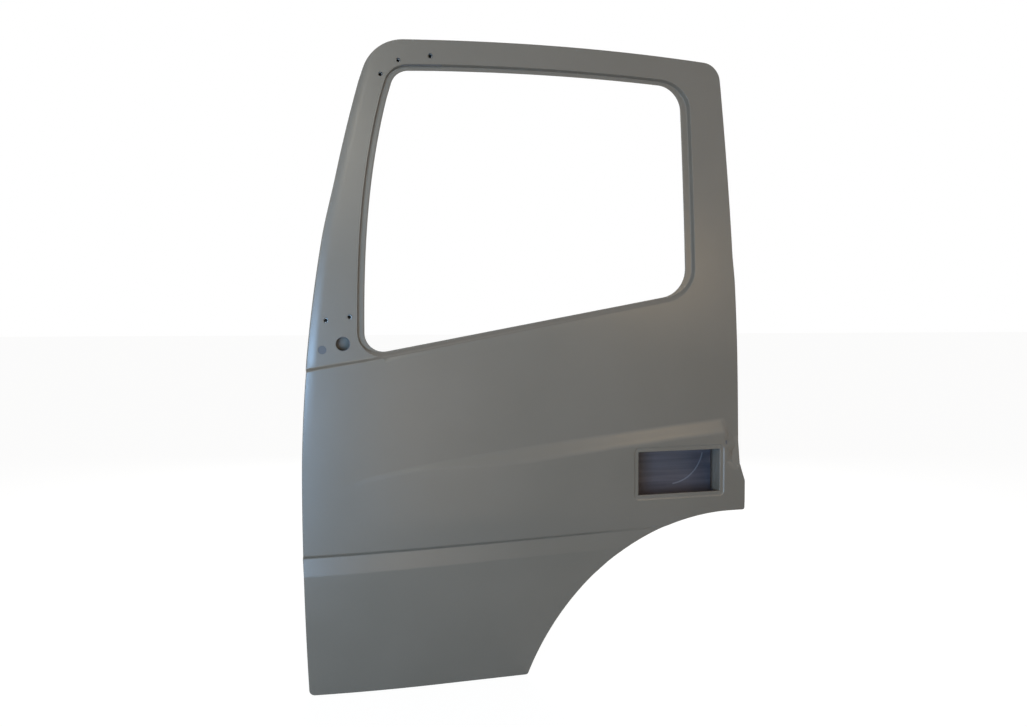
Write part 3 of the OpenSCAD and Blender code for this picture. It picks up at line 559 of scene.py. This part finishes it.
def wall_rows(base, side, foot_y, top_y):
    """Rows of a wall that stands on a sheet at foot_y and bends over into one at top_y: quarter
    circles about (-r, foot_y + 1 + r) and (1 + r, top_y - 1 - r), one sheet thickness apart. The first
    coordinate runs along `side`, from the loop `base`. Gives the rows of both skins."""
    r, skins = FOLD_R, []
    turns = np.radians(np.linspace(0, 90, 6))
    for gauge in (SHEET, 0):
        low, high = r + gauge, r + SHEET - gauge
        steps = [(-r + low * math.sin(t), foot_y + SHEET + r - low * math.cos(t)) for t in turns]
        steps += [(SHEET + r - high * math.cos(t), top_y - SHEET - r + high * math.sin(t))
                  for t in turns]
        skins.append([np.stack([base[:, 0] + side[:, 0] * s, y, base[:, 1] + side[:, 1] * s], 1)
                      for s, y in steps])
    return skins


def ring(outer, inner):
    """Triangles between two rows of point numbers, the outer one first."""
    quad = np.stack([outer, np.roll(outer, -1), np.roll(inner, -1), inner], -1)
    return np.concatenate([quad[:, [0, 1, 2]], quad[:, [0, 2, 3]]])


def smooth_normals(points, tris):
    """Unit normals at the points: the sum of the face normals, weighted with area, round each."""
    a, b, c = points[tris[:, 0]], points[tris[:, 1]], points[tris[:, 2]]
    face = np.cross(b - a, c - a)
    total = np.zeros_like(points)
    for k in range(3):
        np.add.at(total, tris[:, k], face)
    return total / np.maximum(1e-12, np.linalg.norm(total, axis=1))[:, None]


def thickened(name, near, far, tris):
    """Closed sheet between two matching skins: the triangles of the near one, those of the far one
    turned round, and a band along each side that only one triangle has."""
    used, tris = np.unique(tris, return_inverse=True)
    tris = tris.reshape(-1, 3)
    near, far, n = near[used], far[used], len(used)
    sides = np.concatenate([tris[:, [0, 1]], tris[:, [1, 2]], tris[:, [2, 0]]])
    _, which, count = np.unique(np.sort(sides, 1), axis=0, return_inverse=True, return_counts=True)
    a, b = sides[count[which.ravel()] == 1].T
    faces = np.concatenate([
        tris, tris[:, ::-1] + n,
        np.stack([b, a, a + n], 1), np.stack([b, a + n, b + n], 1),
    ])
    normals = np.concatenate([smooth_normals(near, tris), -smooth_normals(far, tris)])
    return sheet_object(name, np.concatenate([near, far]), faces, normals)


def window_frame():
    """Flange, shut face, floor, window wall and weld land of the frame in one sheet. The flange and the
    floor are plane fills carried to their surfaces, and the walls between them are swept folds. Only
    what lies above the seam and outside the glass slot is kept."""
    # Outer wall: its base follows the outline, straight at the shut face and at the latch
    inset = outline - outward(outline) * FLANGE_W
    shut, latch = FOOT_SWEEP + FLANGE_W, DOOR_W - FLANGE_W - 8
    base = np.stack([np.clip(inset[:, 0], shut, latch), inset[:, 1]], 1)
    base = crossed(base[np.linalg.norm(base - np.roll(base, 1, 0), axis=1) > 0.01])
    out = outward(base)
    foot, top = base + out * FOLD_R, base - out * (FOLD_R + SHEET)
    hit = on_seam(base)
    for loop in (foot, top):
        loop[hit, 1] = belt_line(loop[hit, 0]) - SEAM_LINE
    rim = crossed(outline - outward(outline) * (SHEET + SEAM))

    # Window wall: under the window it is drawn down so that its fold ends on the seam
    low = np.maximum(0, -REBATE_OUT[:, 1]) / BELT_NORMAL
    drawn = WALL_W - (SEAM_LINE - SILL_DROP) / SEAM_SLOPE + FOLD_R + SHEET
    wall = WALL_W - drawn * np.minimum(1, low) ** 2
    wall_base = window + REBATE_OUT * wall[:, None]
    opening = wall_base + REBATE_OUT * (FOLD_R + SHEET)
    level = np.flatnonzero(low > 0.9999)
    opening[level, 1] = belt_line(opening[level, 0]) - SEAM_LINE

    # Flange and floor
    flange = fill(rim, [foot], np.empty((0, 2)),
                  joins=[(a, len(rim) + b) for a, b in zip(on_seam(rim), on_seam(foot))])
    slots = [pane(1057, 1080 + 110 * i, *TRIM_SLOT) for i in range(4)]
    slots += [pane(350 + 180 * i, 1553, *TRIM_SLOT) for i in range(4)]
    x = np.arange(30, 1145, 12.0)
    over = np.concatenate([np.arange(-12, 48, 6.0), np.arange(50, 820, 14.0)])
    grid = np.stack(np.broadcast_arrays(x, belt_line(x) + over[:, None]), -1).reshape(-1, 2)
    order = level[np.argsort(opening[level, 0])]
    ends = on_seam(top)
    floor = fill(top, [opening] + slots, grid,
                 joins=[(ends[0], len(top) + order[0]), (ends[-1], len(top) + order[-1])])
    near = [lifted(flange[0], skin_y, SHEET + SEAM), lifted(floor[0], inner_y, -SHEET)]
    far = [near[0] + [0, SHEET, 0], near[1] + [0, SHEET, 0]]
    floor_start = len(near[0])
    tris = [flange[1], floor[1] + floor_start]

    def add_rows(near_rows, far_rows):
        """Adds matching rows to both skins and gives the numbers of their points."""
        ids = []
        for a, b in zip(near_rows, far_rows):
            ids.append(sum(map(len, near)) + np.arange(len(a)))
            near.append(a)
            far.append(b)
        return ids

    # Outer wall, from the flange to the floor
    near_rows, far_rows = wall_rows(base, -out, skin_y(*foot.T) + SHEET + SEAM, inner_y(*top.T))
    ids = [len(rim) + np.arange(len(base))]
    ids += add_rows(near_rows[1:-1], far_rows[1:-1])
    ids += [floor_start + np.arange(len(base))]
    tris += [ring(a, b) for a, b in zip(ids, ids[1:])]

    # Window wall, from the floor to the land that is welded to the rebate
    land = STEP_D + SHEET + WELD_GAP
    start = wall_base - REBATE_OUT * FOLD_R
    weld = [start + (window + REBATE_OUT * WELD_END - start) * t for t in (0.3, 0.65, 1)]
    near_rows, far_rows = wall_rows(wall_base, REBATE_OUT, skin_y(*start.T) + land, inner_y(*opening.T))
    ids = [floor_start + len(top) + np.arange(len(window))]
    ids += add_rows(near_rows[-2::-1] + [lifted(p, skin_y, land) for p in weld],
                    far_rows[-2::-1] + [lifted(p, skin_y, land + SHEET) for p in weld])
    tris += [ring(a, b) for a, b in zip(ids, ids[1:])]

    near, far, tris = np.concatenate(near), np.concatenate(far), np.concatenate(tris)
    x, _, z = near[tris].mean(1).T
    above = z - belt_line(x)
    slot = (x > GLASS_SLOT_FRONT) & (x < GLASS_SLOT_REAR) & (above < GLASS_SLOT_TOP)
    return thickened("window_frame_pressing", near, far, tris[(above > -SEAM_LINE) & ~slot])


frame_sheet = window_frame()
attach(frame_sheet, "root")
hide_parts("window_frame_inner")


# Materials

def shade(code):
    """Linear colour of an sRGB hex value: c/12.92 below 0.04045, otherwise ((c + 0.055)/1.055)^2.4."""
    c = np.array([int(code[i:i + 2], 16) for i in (1, 3, 5)]) / 255
    return tuple(np.where(c < 0.04045, c / 12.92, ((c + 0.055) / 1.055) ** 2.4)) + (1.0,)


def add(tree, kind, links=None, **settings):
    """Adds a node, sets its attributes and input values, and links its inputs."""
    node = tree.nodes.new(kind)
    for name, value in settings.items():
        if hasattr(node, name):
            setattr(node, name, value)
        else:
            node.inputs[name.replace("_", " ")].default_value = value
    for name, source in (links or {}).items():
        tree.links.new(source, node.inputs[name])
    return node


def maths(tree, operation, *values):
    """Result of a math node, whose inputs are sockets or numbers."""
    node = add(tree, "ShaderNodeMath", operation=operation)
    for place, value in zip(node.inputs, values):
        if isinstance(value, bpy.types.NodeSocket):
            tree.links.new(value, place)
        else:
            place.default_value = value
    return node.outputs[0]


def new_material(name):
    """Material with an empty node tree, its Principled shader and its object coordinates."""
    material = bpy.data.materials.new(name)
    material.use_nodes = True
    tree = material.node_tree
    tree.nodes.clear()
    place = add(tree, "ShaderNodeTexCoord").outputs["Object"]
    surface = add(tree, "ShaderNodeBsdfPrincipled")
    add(tree, "ShaderNodeOutputMaterial", {"Surface": surface.outputs["BSDF"]})
    return material, tree, place, surface


def ramp(tree, source, stops):
    """Colour ramp through (position, hex colour) stops."""
    node = add(tree, "ShaderNodeValToRGB", {"Fac": source})
    for stop, (position, code) in zip(node.color_ramp.elements, stops, strict=True):
        stop.position, stop.color = position, shade(code)
    return node.outputs["Color"]


def electrocoat_primer(name, dark, light, rough):
    """Electrodeposited grey primer on pressed steel: an even satin film, faintly cloudy over
    100 to 300 mm from handling dust, with a fine orange peel."""
    material, tree, place, surface = new_material(name)
    # Clouds about 220 mm across; noise scale is one over the size in metres
    cloud = add(tree, "ShaderNodeTexNoise", {"Vector": place}, Scale=4.5, Detail=3.0, Roughness=0.55)
    # Fine dust, 3 mm, drawn coarser than the real 0.1 mm so that it shows
    dust = add(tree, "ShaderNodeTexNoise", {"Vector": place}, Scale=330.0, Detail=2.0)
    both = maths(tree, "MULTIPLY_ADD", cloud.outputs["Fac"], 0.8,
                 maths(tree, "MULTIPLY", dust.outputs["Fac"], 0.2))
    tree.links.new(ramp(tree, both, [(0.15, dark), (0.85, light)]), surface.inputs["Base Color"])
    gloss = add(tree, "ShaderNodeMapRange", {"Value": cloud.outputs["Fac"]}, From_Min=0.0, From_Max=1.0,
                To_Min=rough - 0.04, To_Max=rough + 0.05)
    tree.links.new(gloss.outputs["Result"], surface.inputs["Roughness"])
    # Orange peel, 2.5 mm between crests and a few hundredths of a millimetre high
    peel = add(tree, "ShaderNodeTexNoise", {"Vector": place}, Scale=400.0, Detail=1.0)
    bump = add(tree, "ShaderNodeBump", {"Height": peel.outputs["Fac"]}, Strength=0.25, Distance=0.00006)
    tree.links.new(bump.outputs["Normal"], surface.inputs["Normal"])
    return material


def with_painted_cavity_shade(primer):
    """The satin primer, but on the cavity side of the panel's floor a darker colour as painted shade,
    in streaks 10 mm high. A painted highlight 4 mm wide stands for a pressed line there behind the
    handle aperture, a quarter circle of radius 102 mm. Places are in metres."""
    material = primer.copy()
    material.name = "satin_grey_primer_painted_shade_in_the_cavity"
    tree = material.node_tree
    surface = next(n for n in tree.nodes if n.type == "BSDF_PRINCIPLED")
    place = next(n for n in tree.nodes if n.type == "TEX_COORD").outputs["Object"]
    usual = surface.inputs["Base Color"].links[0].from_socket
    x, y, z = add(tree, "ShaderNodeSeparateXYZ", {"Vector": place}).outputs

    def mixed(factor, a, b):
        """Colour a where the factor is 0, colour b where it is 1."""
        return add(tree, "ShaderNodeMix", {0: factor, 6: a, 7: b}, data_type="RGBA").outputs[2]

    run = add(tree, "ShaderNodeMapping", {"Vector": place}, Scale=(3, 3, 100))
    streaks = add(tree, "ShaderNodeTexNoise", {"Vector": run.outputs["Vector"]}, Scale=1.0, Detail=2.0)
    # Painted shade: a darker streaked colour stands for the shade inside the door
    painted_shade_colour = ramp(tree, streaks.outputs["Fac"], [(0.3, "#453F42"), (0.7, "#585153")])
    reach = add(tree, "ShaderNodeVectorMath", {0: place}, operation="DISTANCE")
    reach.inputs[1].default_value = (0.9692, 0.0330, -0.1300)
    highlight_ring = maths(tree, "COMPARE", reach.outputs["Value"], 0.102, 0.0018)
    quarter = maths(tree, "MULTIPLY", maths(tree, "GREATER_THAN", x, 0.979),
                    maths(tree, "LESS_THAN", z, -0.150))
    line = maths(tree, "MULTIPLY", highlight_ring, quarter)
    # Painted highlight: a lighter ring where a pressed line would catch the light
    painted_highlight = add(tree, "ShaderNodeRGB")
    painted_highlight.outputs[0].default_value = shade("#6E6A6C")
    # Only the cavity side of the floor gets the painted shade and the painted highlight
    on_floor = maths(tree, "COMPARE", y, 0.03295, 0.0004)
    tree.links.new(mixed(on_floor, usual, mixed(line, painted_shade_colour, painted_highlight.outputs[0])),
                   surface.inputs["Base Color"])
    return material


def zinc_plate(name):
    """Zinc-plated weld nuts: a dull silvery metal with blurred crystals about 4 mm across."""
    material, tree, place, surface = new_material(name)
    grain = add(tree, "ShaderNodeTexVoronoi", {"Vector": place}, Scale=260.0)
    tree.links.new(ramp(tree, grain.outputs["Distance"], [(0.1, "#A9ABA8"), (0.8, "#C6C8C4")]),
                   surface.inputs["Base Color"])
    surface.inputs["Metallic"].default_value = 1.0
    surface.inputs["Roughness"].default_value = 0.42
    return material


def rubber_foam(name):
    """Closed-cell rubber foam: black, dull, with skin pores about 3 mm apart."""
    material, tree, place, surface = new_material(name)
    pores = add(tree, "ShaderNodeTexVoronoi", {"Vector": place}, Scale=330.0)
    tree.links.new(ramp(tree, pores.outputs["Distance"], [(0.1, "#1B1B1D"), (0.6, "#333336")]),
                   surface.inputs["Base Color"])
    surface.inputs["Roughness"].default_value = 0.95
    bump = add(tree, "ShaderNodeBump", {"Height": pores.outputs["Distance"]},
               Strength=0.5, Distance=0.0006)
    tree.links.new(bump.outputs["Normal"], surface.inputs["Normal"])
    return material


finishes = {
    "primer": electrocoat_primer("satin_grey_primer", "#615A4F", "#686055", 0.34),
    # The reinforcements: the same primer, darker as painted shade for the inside of the door
    "primed_steel": electrocoat_primer("primer_on_reinforcements_with_painted_shade", "#3E3D3F", "#4B4A4B", 0.45),
    "zinc": zinc_plate("zinc_plated_steel"),
    "foam": rubber_foam("black_rubber_foam"),
}
slots = {part["node"]: part["material_slot"] for part in frame["record"]["subparts"]}
for name, node in frame["nodes"].items():
    node.data.materials.clear()
    node.data.materials.append(finishes[slots[name]])
# The inner panel gets painted shade and a painted highlight on its cavity side
frame["nodes"]["inner_panel"].data.materials[0] = with_painted_cavity_shade(finishes["primer"])
skin.data.materials.append(finishes["primer"])
frame_sheet.data.materials.append(finishes["primer"])


# Floor, lamps and camera, in metres in the part's frame

FLOOR_Z, FLOOR_HALF = -0.6905, 60
PHOTO_W, FOCAL_PIXELS, SENSOR_W = 1027, 1100, 36.0
CAMERA_MM = np.array([-377.763, -2578.663, 904.618])
CAMERA_TURN, CAMERA_PITCH = math.radians(19.2), math.radians(-2.3)


def stage_floor(height, half):
    """Large pale floor that shows white to the camera and keeps a soft shadow."""
    mesh = bpy.data.meshes.new("floor")
    corners = [(-half, -half), (half, -half), (half, half), (-half, half)]
    mesh.from_pydata([(x, y, height) for x, y in corners], [], [(0, 1, 2, 3)])
    floor = bpy.data.objects.new("floor", mesh)
    bpy.context.scene.collection.objects.link(floor)
    material = bpy.data.materials.new("pale_floor")
    material.use_nodes = True
    tree = material.node_tree
    tree.nodes.clear()
    matt = add(tree, "ShaderNodeBsdfDiffuse", Color=shade("#DADAD8"))
    glow = add(tree, "ShaderNodeEmission", Color=(1, 1, 1, 1), Strength=1.14)
    seen = add(tree, "ShaderNodeLightPath").outputs
    part = maths(tree, "MULTIPLY", seen["Is Camera Ray"], 0.82)
    mix = add(tree, "ShaderNodeMixShader", {0: part, 1: matt.outputs[0], 2: glow.outputs[0]})
    add(tree, "ShaderNodeOutputMaterial", {"Surface": mix.outputs[0]})
    mesh.materials.append(material)


def room_light():
    """Even soft light from all round, and a white background for camera, gloss and glass."""
    world = bpy.data.worlds.new("studio")
    bpy.context.scene.world = world
    world.use_nodes = True
    tree = world.node_tree
    tree.nodes.clear()
    lit = add(tree, "ShaderNodeBackground", Color=(1.0, 0.95, 0.90, 1), Strength=0.27)
    white = add(tree, "ShaderNodeBackground", Color=(1, 1, 1, 1), Strength=1.0)
    seen = add(tree, "ShaderNodeLightPath").outputs
    straight = maths(tree, "MAXIMUM", seen["Is Camera Ray"], seen["Is Transmission Ray"])
    first = maths(tree, "MAXIMUM", straight, seen["Is Glossy Ray"])
    mix = add(tree, "ShaderNodeMixShader", {0: first, 1: lit.outputs[0], 2: white.outputs[0]})
    add(tree, "ShaderNodeOutputWorld", {"Surface": mix.outputs[0]})


def soft_lamp(name, place, target, size, power, colour):
    """Square area lamp at a place, turned to a target, all in metres."""
    data = bpy.data.lights.new(name, "AREA")
    data.size, data.energy, data.color = size, power, colour
    lamp = bpy.data.objects.new(name, data)
    lamp.location = place
    lamp.rotation_mode = "QUATERNION"
    lamp.rotation_quaternion = (Vector(target) - Vector(place)).to_track_quat("-Z", "Y")
    bpy.context.scene.collection.objects.link(lamp)


stage_floor(FLOOR_Z, FLOOR_HALF)
room_light()
# Bluish daylight from the front left, whose gloss runs down the front of the door
soft_lamp("window_light", (-1.6, -3.3, -0.15), (0.1, 0, 0.0), 1.2, 162, (0.36, 0.63, 1.0))
# Warm fill from the upper left and from above, for the front edge and the front pillar
soft_lamp("side_light", (-2.3, -2.2, 1.5), (0.1, 0, 0.4), 0.8, 20, (1.0, 0.92, 0.8))
soft_lamp("pillar_light", (-0.1, -2.75, 1.6), (0.1, 0, 0.5), 0.5, 13, (1.0, 0.93, 0.78))
# Small warm lamp for the crease above the handle
soft_lamp("crease_light", (1.34, -1.0, 0.49), (0.82, 0, -0.05), 0.3, 1.4, (1.0, 0.72, 0.4))
# Weak warm light from low down in front, for the lower door
soft_lamp("yard_light", (0.75, -3.4, -0.35), (0.3, 0, -0.2), 1.0, 9, (1.0, 0.76, 0.56))
# Large lamp behind the door, for the cab side
soft_lamp("cab_side_light", (1.6, 3.4, 1.6), (0.5, 0, 0.1), 2.4, 90, (1.0, 0.98, 0.96))

aim = Vector((math.sin(CAMERA_TURN) * math.cos(CAMERA_PITCH),
              math.cos(CAMERA_TURN) * math.cos(CAMERA_PITCH), math.sin(CAMERA_PITCH)))
camera_data = bpy.data.cameras.new("camera")
camera_data.sensor_width = SENSOR_W
camera_data.lens = FOCAL_PIXELS / PHOTO_W * SENSOR_W
camera = bpy.data.objects.new("camera", camera_data)
camera.location = (CAMERA_MM - ORIGIN) / 1000
camera.rotation_mode = "QUATERNION"
camera.rotation_quaternion = aim.to_track_quat("-Z", "Y")
bpy.context.scene.collection.objects.link(camera)
bpy.context.scene.camera = camera

bpy.context.scene.view_settings.view_transform = "Standard"
